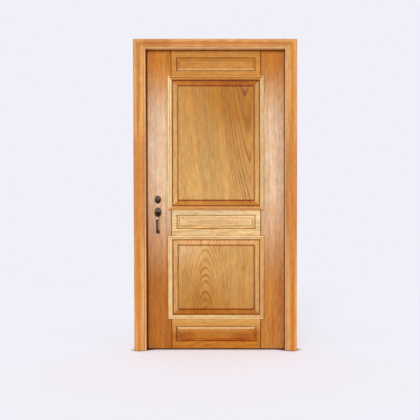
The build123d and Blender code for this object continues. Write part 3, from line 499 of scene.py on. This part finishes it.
def frame_tone(r, node, x, z):
    """Deeper down the middle of each jamb and of the head, and at half height."""
    timber = bpy.context.scene.door_timber
    beside = r.sum("SUBTRACT", r.sum("ABSOLUTE", x), FRAME_MIDDLE[0])
    over = r.sum("SUBTRACT", z, FRAME_MIDDLE[1])
    away = r.sum("ABSOLUTE", r.sum("MAXIMUM", beside, over))
    slow = r.noise(r.join(r.sum("MULTIPLY", x, 6.0), 0.2, z), scale=1.9, detail=1.0)
    core = r.fade(r.vary(away, slow, 0.03), *FRAME_CORE, start=0.9, end=0.0)
    low = r.fade(r.gap(z, FRAME_DEEP_HEIGHT), *FRAME_DEEP_REACH, start=0.75, end=0.0)
    return r.blend(r.sum("MAXIMUM", core, low), timber.frame_light, timber.frame_deep)


def stile_tone(r, node, x, z):
    """Palest at half height, and deeper under the head and near the sill."""
    timber = bpy.context.scene.door_timber
    foot = timber.stile_foot_right if node == "stile_hinge" else timber.stile_foot
    low = r.blend(r.fade(z, *STILE_FOOT), foot, timber.stile_palest)
    return r.blend(r.fade(z, *STILE_TOP), low, timber.stile_top)


def rail_tone(r, node, x, z):
    """Palest at the middle rail."""
    timber = bpy.context.scene.door_timber
    low = r.blend(r.fade(z, *RAIL_FOOT), timber.rail_foot, timber.rail_low)
    low = r.blend(r.fade(z, *RAIL_LOW), low, timber.rail_middle)
    return r.blend(r.fade(z, *RAIL_HIGH), low, timber.rail_top)


def away_from(r, x, z, middle_x, middle_z):
    """How far a place is from a middle, seen from the front."""
    return r.vector("LENGTH", r.join(r.sum("SUBTRACT", x, middle_x), 0.0,
                                     r.sum("SUBTRACT", z, middle_z)))


def panel_tone(r, node, x, z):
    """Lightest beside the middle rail, and deeper or paler in patches."""
    timber = bpy.context.scene.door_timber
    patch_x, patch_z, reach, slant = DEEP_PATCH[node]
    rise = r.sum("MULTIPLY", r.gap(z, MIDDLE_RAIL), PANEL_DEEPENING)
    depth = r.fade(r.sum("MULTIPLY_ADD", x, slant, rise), *PANEL_DEPTH)
    patch = r.fade(away_from(r, x, z, patch_x, patch_z), 0.0, reach, start=0.4, end=0.0)
    tone = r.blend(r.sum("ADD", depth, patch), timber.panel_light, timber.panel_deep)
    if node in PALE_PATCH:
        pale_x, pale_z, reach, share = PALE_PATCH[node]
        patch = r.fade(away_from(r, x, z, pale_x, pale_z), 0.0, reach, start=share, end=0.0)
        tone = r.blend(patch, tone, timber.panel_pale)
    return tone


def moulding_tone(r, node, x, z):
    """Between the palest and the deep tone, by the side of the panel that it lies on; the deeper
    sides are partly painted shade.
    """
    timber = bpy.context.scene.door_timber
    place = node.split("_", 2)[2]
    return r.blend(MOULDING_DEPTH[place], timber.moulding_light, timber.moulding_deep)


def grooved(r, node, tone, x, y, z):
    """The tone darkened along the piece's grooves and steps by old varnish and painted shade, and
    by painted shade at the leaf's edges beside the frame's stops.
    """
    timber = bpy.context.scene.door_timber
    kind = next(kind for kind in (node, *node.split("_")) if kind in GROOVES)
    for groove in GROOVES[kind]:
        beside = r.sum("SUBTRACT", r.sum("ABSOLUTE", x), groove.half_width)
        over = r.sum("SUBTRACT", r.gap(z, groove.middle), groove.half_height)
        away = r.sum("ABSOLUTE", r.sum("MAXIMUM", beside, over))
        share = r.fade(away, groove.reach * GROOVE_CORE, groove.reach,
                       start=groove.share, end=0.0)
        if groove.outside:
            share = r.sum("MULTIPLY", share, r.fade(y, *OUTSIDE_DEPTH, start=1.0, end=0.0))
        tone = r.tint(share, tone, timber.groove_stain_and_shade)
    return tone


def blotted(r, blot, x, z):
    """How far a place lies inside a deeper cloud of the wood, with a ragged edge."""
    middle_x, middle_z, half_width, half_height, share = blot
    ragged = r.noise(r.join(x, 0.3, r.sum("MULTIPLY", z, 0.6)), scale=34.0, detail=3.0,
                     roughness=0.6)
    across = r.sum("DIVIDE", r.sum("SUBTRACT", x, middle_x), half_width)
    up = r.sum("DIVIDE", r.sum("SUBTRACT", z, middle_z), half_height)
    away = r.sum("MULTIPLY_ADD", ragged, 1.2, r.vector("LENGTH", r.join(across, 0.0, up)))
    return r.fade(away, 0.9, 1.7, start=share, end=0.0)


def revealed(r, node, tone, x, y, z):
    """The frame's tone, with painted shade inside the opening where it meets the leaf, and
    painted light on the rounded edge beside it.
    """
    timber = bpy.context.scene.door_timber
    inside = r.sum("MAXIMUM", r.sum("ABSOLUTE", x), r.sum("SUBTRACT", z, OPENING_STEP))
    painted_edge_light = r.fade(inside, REVEAL_EDGE, REVEAL_LIT, start=0.8, end=0.0)
    tone = r.blend(painted_edge_light, tone, timber.painted_light_tone)
    reveal_shade = r.fade(inside, REVEAL_EDGE, REVEAL_SHADED, start=1.0, end=0.0)
    share = r.sum("MULTIPLY", r.fade(y, *REVEAL_SHADE_DEPTH[node]), reveal_shade)
    tone = r.tint(share, tone, timber.groove_stain_and_shade)
    return r.tint(share, tone, timber.groove_stain_and_shade)


def painted_slope_light(r, tone, z, above, beside):
    """The tone, with painted light on slopes that face the light and painted shade on those that
    face away.

    The light comes from above, and under the frame's head it comes from below. Above and beside
    are the shares of painted light on slopes that face up and to the sides.
    """
    timber = bpy.context.scene.door_timber
    normal = r.add("ShaderNodeTexCoord").outputs["Normal"]
    upwards = r.vector("DOT_PRODUCT", normal, (0, 0, 1))
    facing = r.sum("MULTIPLY", upwards, r.fade(z, *LIGHT_TURNS, start=1.0, end=-1.0))
    sideways = r.sum("ABSOLUTE", r.vector("DOT_PRODUCT", normal, (1, 0, 0)))
    lit = r.sum("MAXIMUM", r.fade(facing, *SLOPE_LIT, end=above),
                r.fade(sideways, *SLOPE_BESIDE, end=beside))
    tone = r.blend(lit, tone, timber.painted_light_tone)
    painted_shade_tint = r.fade(facing, *SLOPE_SHELTERED, start=1.0, end=0.0)
    return r.tint(painted_shade_tint, tone, timber.painted_shade_tint)


def varnished(name, board, tone_maker, corner_shade_tint=None):
    """Satin varnished wood for one board."""
    timber = bpy.context.scene.door_timber
    material, r, shader = new_material(f"varnished_{name}")
    place = r.add("ShaderNodeTexCoord").outputs["Object"]
    x, y, z = r.split(place)
    lying = board.grain == "X"
    leaning = r.sum("MULTIPLY_ADD", z, board.skew, x)
    tone = tone_maker(r, name, x, z)
    if name in SLOPE_LIGHT_SHARES:
        tone = painted_slope_light(r, tone, z, *SLOPE_LIGHT_SHARES[name])
    for blot in BLOTS.get(name, ()):
        tone = r.tint(blotted(r, blot, x, z), tone, timber.blot)
    if name.startswith("frame_"):
        tone = revealed(r, name, tone, x, y, z)
    else:
        tone = grooved(r, name, tone, x, y, z)
    pith = board.pith
    contrast = board.contrast
    if board.stave is not None:
        beyond = r.sum("GREATER_THAN", leaning, board.stave)
        pith = r.choose(beyond, board.pith, board.second)
        contrast = r.sum("MULTIPLY_ADD", beyond, board.second_contrast, contrast)
    if board.plain is not None:
        kept = r.fade(x, board.plain, board.plain + PLAIN_FADE, start=1.0, end=PLAIN_SHARE)
        contrast = r.sum("MULTIPLY", contrast, kept)
    wood = r.add("ShaderNodeGroup", node_tree=shared_group("sawn_timber", sawn_timber))
    for socket, value in {
        "Point": r.join(z, y, x) if lying else r.join(leaning, y, z),
        "Grain": (1, 0, 0) if lying else (0, 0, 1),
        "Pith": pith, "Ring": board.ring, "Wander": board.wander, "Contrast": contrast,
        "Tone": tone,
        "Line Tint": timber.growth_line, "Flush Tint": timber.flush,
        "End Tint": timber.end_grain,
        "Corner Tint": corner_shade_tint or timber.corner_stain_and_shade,
        "Corner Reach": timber.corner_reach,
    }.items():
        r.feed(wood.inputs[socket], value)
    eased = r.add("ShaderNodeBevel", {"Radius": timber.arris_round}, samples=4).outputs[0]
    bump = r.add("ShaderNodeBump", {
        "Strength": 0.5, "Distance": 0.0003, "Height": wood.outputs["Height"], "Normal": eased,
    }).outputs[0]
    r.feed(shader.inputs["Base Color"], wood.outputs["Color"])
    r.feed(shader.inputs["Roughness"], r.sum("ADD", wood.outputs["Roughness"],
                                             timber.varnish_roughness))
    r.feed(shader.inputs["Normal"], bump)
    shader.inputs["Specular IOR Level"].default_value = 0.12
    shader.inputs["Coat Weight"].default_value = 0.05
    shader.inputs["Coat Roughness"].default_value = 0.35
    return material


RUBBED_EDGE = (0.86, 0.96)     # an edge's turn (its cosine), rubbed bright and not rubbed
HIGHLIGHT_REACH = (0.006, 0.012)    # up and down from the height of the painted highlight
SHADE_REACH = (0.004, 0.024)   # and from the height of the painted shade on a rose
GRIP_HIGHLIGHT_AT = 0.928              # heights on the door
GRIP_SHADED_AT = 0.952
CYLINDER_SHADED_AT = 1.041


def metal(name, colour, worn, roughness, mottle, highlight_at=None, shaded_at=None):
    """Metal with a cloudy patina, fine scratches and rubbed edges.

    It has a painted highlight round one height, and painted shade round another.
    """
    metals = bpy.context.scene.door_metal
    material, r, shader = new_material(name)
    place = r.add("ShaderNodeTexCoord").outputs["Object"]
    height = r.split(place)[2]
    true = r.add("ShaderNodeNewGeometry").outputs["Normal"]
    eased = r.add("ShaderNodeBevel", {"Radius": metals.wear_width}, samples=4).outputs[0]
    turned = r.vector("DOT_PRODUCT", true, eased)
    cloud = r.noise(place, scale=90.0, detail=3.0, roughness=0.6)
    grit = r.noise(place, scale=900.0, detail=3.0, roughness=0.65)
    worn_round = r.sum("MULTIPLY_ADD", cloud, -0.05, turned)
    edge = r.fade(worn_round, *RUBBED_EDGE, start=1.0, end=0.0)
    scratch = r.fade(r.noise(r.stretch(place, 0.06), scale=1600.0), 0.62, 0.72)
    shade = r.vary(r.vary(1.0, cloud, mottle), grit, mottle)
    base = r.tint(1.0, colour, r.join(shade, shade, shade))
    # Painted shade: darker round the given height, for the dark below reflected in a rose's lower
    # part.
    if shaded_at:
        share = r.fade(r.gap(height, shaded_at), *SHADE_REACH, start=1.0, end=0.0)
        base = r.tint(share, base, metals.rose_foot_shade)
    rubbed = r.sum("MAXIMUM", edge, r.sum("MULTIPLY", scratch, 0.2))
    # Painted highlight: bright round the given height, where the grip bends out of its rose.
    # Rubbed carries real wear and this highlight.
    if highlight_at:
        share = r.fade(r.gap(height, highlight_at), *HIGHLIGHT_REACH, start=1.0, end=0.0)
        rubbed = r.sum("MAXIMUM", rubbed, share)
    r.feed(shader.inputs["Base Color"], r.blend(rubbed, base, worn))
    rough = r.vary(roughness, cloud, 0.4)
    r.feed(shader.inputs["Roughness"], r.sum("MULTIPLY_ADD", rubbed, -0.1, rough))
    r.feed(shader.inputs["Normal"], r.add("ShaderNodeBump", {
        "Strength": 0.4, "Distance": 0.0002, "Height": grit, "Normal": eased,
    }).outputs[0])
    shader.inputs["Metallic"].default_value = 1.0
    return material


def dress(node, material):
    """Gives a CAD node its finish."""
    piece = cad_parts[node]
    if not piece.material_slots:
        piece.data.materials.append(material)
    for slot in piece.material_slots:
        slot.material = material


def named(*starts):
    """The CAD nodes whose names start with one of these words."""
    found = sorted(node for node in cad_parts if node.startswith(starts))
    if not found:
        raise RuntimeError(f"the door has no node whose name starts with {starts}")
    return found


# Operators

class FRONTDOOR_OT_frame(bpy.types.Operator):
    """Finish the frame's jambs and head in golden orange varnish"""

    bl_idname = "front_door.finish_frame"
    bl_label = "Frame"

    def execute(self, context):
        for node in named("frame_"):
            dress(node, varnished(node, BOARDS[node], frame_tone))
        return {"FINISHED"}


class FRONTDOOR_OT_leaf(bpy.types.Operator):
    """Finish the leaf's stiles and rails, faded where the sun reaches them"""

    bl_idname = "front_door.finish_leaf"
    bl_label = "Stiles and Rails"

    def execute(self, context):
        for node in named("stile_", "rail_"):
            tone = stile_tone if node.startswith("stile_") else rail_tone
            dress(node, varnished(node, BOARDS[node], tone))
        return {"FINISHED"}


class FRONTDOOR_OT_panels(bpy.types.Operator):
    """Finish the two raised panels, each glued up from two boards"""

    bl_idname = "front_door.finish_panels"
    bl_label = "Panels"

    def execute(self, context):
        for node in named("panel_"):
            dress(node, varnished(node, BOARDS[node], panel_tone))
        return {"FINISHED"}


class FRONTDOOR_OT_mouldings(bpy.types.Operator):
    """Finish the mouldings round the panels"""

    bl_idname = "front_door.finish_mouldings"
    bl_label = "Mouldings"

    def execute(self, context):
        for number, node in enumerate(named("moulding_")):
            low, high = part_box(node)
            lying = high.x - low.x > high.z - low.z
            middle = (low + high) / 2
            across = middle.z if lying else middle.x
            aside = 0.05 + 0.013 * (number % 5)   # so that no two neighbours are sawn alike
            depth = -0.04 - 0.02 * (number % 3)
            board = Board((across + aside, depth, 0.004), "X" if lying else "Z",
                          ring=0.004, contrast=0.3, wander=0.02)
            dress(node, varnished(node, board, moulding_tone,
                                  context.scene.door_timber.bead_stain_and_shade))
        return {"FINISHED"}


class FRONTDOOR_OT_furniture(bpy.types.Operator):
    """Finish the handle, knob, roses, thumb turn, hinges and plates in dark bronze"""

    bl_idname = "front_door.finish_furniture"
    bl_label = "Furniture and Hinges"

    def execute(self, context):
        metals = context.scene.door_metal
        # The cast bronze has painted shade on the lower part of the cylinder's rose.
        cast = metal("cast_bronze", metals.bronze, metals.bronze_worn,
                     roughness=0.36, mottle=0.7, shaded_at=CYLINDER_SHADED_AT)
        rolled = metal("rolled_bronze", metals.bronze, metals.bronze_worn,
                       roughness=0.42, mottle=0.4)
        # The grip's bronze has a painted highlight on its upper bend and painted shade low on its
        # rose.
        rubbed = metal("rubbed_bronze", metals.bronze, metals.bronze_highlight,
                       roughness=0.36, mottle=0.7, highlight_at=GRIP_HIGHLIGHT_AT, shaded_at=GRIP_SHADED_AT)
        dress("grip_handle", rubbed)
        for node in named("thumb_", "cylinder_rose", "cylinder_body",
                          "cylinder_plug", "inside_knob", "knob_rose", "turn_rose"):
            dress(node, cast)
        for node in named("hinge_", "lock_faceplate", "strike_", "through_screws",
                          "faceplate_screws", "cylinder_screws"):
            dress(node, rolled)
        return {"FINISHED"}


class FRONTDOOR_OT_lock(bpy.types.Operator):
    """Finish the lock case and its works in steel, and its bolts in brass"""

    bl_idname = "front_door.finish_lock"
    bl_label = "Lock"

    def execute(self, context):
        metals = context.scene.door_metal
        brass = metal("bolt_brass", metals.brass, metals.brass_worn,
                      roughness=0.28, mottle=0.3)
        steel = metal("plated_steel", metals.steel, metals.steel_worn,
                      roughness=0.4, mottle=0.35)
        for node in named("latch_bolt", "dead_bolt"):
            dress(node, brass)
        for node in named("lock_case", "lock_cover", "latch_follower", "bolt_cam", "tail_bar",
                          "knob_spindle"):
            dress(node, steel)
        return {"FINISHED"}


SENSOR_WIDTH = 36                  # of the camera, in millimetres
FLOOR_CLOUD = (0.8, 0.8, 0.82)     # faint clouds on the floor
FLOOR_SHADOW = (0.02, 0.01, 0.01)  # the floor close under the door
SHADOW_REACH = 0.07                # how far out of the door's foot that shadow comes


def make_floor(stage):
    """A round floor that fades out, so that it has no visible edge."""
    radius = stage.floor_radius
    mesh = bpy.data.meshes.new("studio_floor")
    form = bmesh.new()
    bmesh.ops.create_circle(form, cap_ends=True, radius=radius, segments=96)
    form.to_mesh(mesh)
    form.free()
    floor = bpy.data.objects.new("studio_floor", mesh)
    bpy.context.scene.collection.objects.link(floor)
    material, r, shader = new_material("pale_floor")
    place = r.add("ShaderNodeTexCoord").outputs["Object"]
    away = r.vector("LENGTH", place)
    cloud = r.noise(place, scale=3.0)
    tone = r.blend(r.fade(cloud, 0.3, 0.7, end=0.04), stage.background, FLOOR_CLOUD)
    open_sky = r.add("ShaderNodeAmbientOcclusion", {"Distance": SHADOW_REACH},
                     samples=8).outputs["AO"]
    lit = r.fade(open_sky, 0.35, 0.9)
    r.feed(shader.inputs["Base Color"], r.blend(lit, FLOOR_SHADOW, tone))
    seen = r.add("ShaderNodeLightPath").outputs["Is Camera Ray"]
    r.feed(shader.inputs["Emission Color"], stage.background)
    glow = r.sum("MULTIPLY", r.sum("MULTIPLY", seen, lit), stage.floor_glow)
    r.feed(shader.inputs["Emission Strength"], glow)
    shader.inputs["Roughness"].default_value = 0.9
    shader.inputs["Specular IOR Level"].default_value = 0.1
    r.feed(shader.inputs["Alpha"], r.fade(away, radius * 0.45, radius * 0.95, start=1.0, end=0.0))
    mesh.materials.append(material)


def make_world(stage):
    """Even light, with the plain background wherever it is seen directly or in a reflection."""
    world = bpy.data.worlds.new("studio")
    world.use_nodes = True
    bpy.context.scene.world = world
    r = Recipe(world.node_tree)
    even = r.tree.nodes["Background"]
    even.inputs["Color"].default_value = (1, 1, 1, 1)
    even.inputs["Strength"].default_value = stage.sky
    seen = r.add("ShaderNodeBackground", {"Color": stage.background, "Strength": 1.0})
    path = r.add("ShaderNodeLightPath").outputs
    direct = r.sum("MAXIMUM", path["Is Camera Ray"],
                   r.sum("MAXIMUM", path["Is Glossy Ray"], path["Is Transmission Ray"]))
    mix = r.add("ShaderNodeMixShader", {0: direct, 1: even.outputs[0], 2: seen.outputs[0]})
    r.feed(r.tree.nodes["World Output"].inputs["Surface"], mix.outputs[0])


class FRONTDOOR_OT_stage(bpy.types.Operator):
    """Set up the pale floor, the lamp and the camera in front of the door"""

    bl_idname = "front_door.set_stage"
    bl_label = "Stage"

    def execute(self, context):
        stage = context.scene.door_stage
        make_floor(stage)
        make_world(stage)
        lamp = bpy.data.lights.new("window_light", "SUN")
        lamp.energy = stage.sun
        lamp.angle = stage.sun_softness
        lamp_stand = bpy.data.objects.new("window_light", lamp)
        lamp_stand.rotation_euler = Euler((stage.sun_tilt, 0, stage.sun_turn))
        context.scene.collection.objects.link(lamp_stand)

        eye = bpy.data.cameras.new("front_view")
        eye.lens = stage.lens
        eye.sensor_width = SENSOR_WIDTH
        eye.shift_x = stage.shift_side
        eye.shift_y = stage.shift_up
        camera = bpy.data.objects.new("front_view", eye)
        camera.location = (stage.camera_side, -stage.camera_distance, stage.camera_height)
        camera.rotation_euler = Euler((math.radians(90) - stage.camera_tilt, 0, 0))
        context.scene.collection.objects.link(camera)
        context.scene.camera = camera
        context.scene.view_settings.view_transform = "Standard"
        return {"FINISHED"}


class FRONTDOOR_PT_sidebar(bpy.types.Panel):
    """Lists the finishes of the front door"""

    bl_idname = "FRONTDOOR_PT_sidebar"
    bl_label = "Front Door"
    bl_space_type = "VIEW_3D"
    bl_region_type = "UI"
    bl_category = "Front Door"

    def draw(self, context):
        for step in STEPS:
            self.layout.operator(step.bl_idname)
        for settings in SETTINGS:
            group = getattr(context.scene, settings)
            for name in group.__annotations__:
                self.layout.prop(group, name)


STEPS = (
    FRONTDOOR_OT_frame, FRONTDOOR_OT_leaf, FRONTDOOR_OT_panels, FRONTDOOR_OT_mouldings,
    FRONTDOOR_OT_furniture, FRONTDOOR_OT_lock, FRONTDOOR_OT_stage,
)
SETTINGS = {
    "door_timber": TimberSettings, "door_metal": MetalSettings, "door_stage": StageSettings,
}
CLASSES = (*SETTINGS.values(), *STEPS, FRONTDOOR_PT_sidebar)


def register():
    for kind in CLASSES:
        bpy.utils.register_class(kind)
    for name, kind in SETTINGS.items():
        setattr(bpy.types.Scene, name, PointerProperty(type=kind))


def unregister():
    for name in SETTINGS:
        delattr(bpy.types.Scene, name)
    for kind in reversed(CLASSES):
        bpy.utils.unregister_class(kind)


def main():
    register()
    bpy.ops.front_door.finish_frame()
    bpy.ops.front_door.finish_leaf()
    bpy.ops.front_door.finish_panels()
    bpy.ops.front_door.finish_mouldings()
    bpy.ops.front_door.finish_furniture()
    bpy.ops.front_door.finish_lock()
    bpy.ops.front_door.set_stage()


if __name__ == "__main__":
    main()
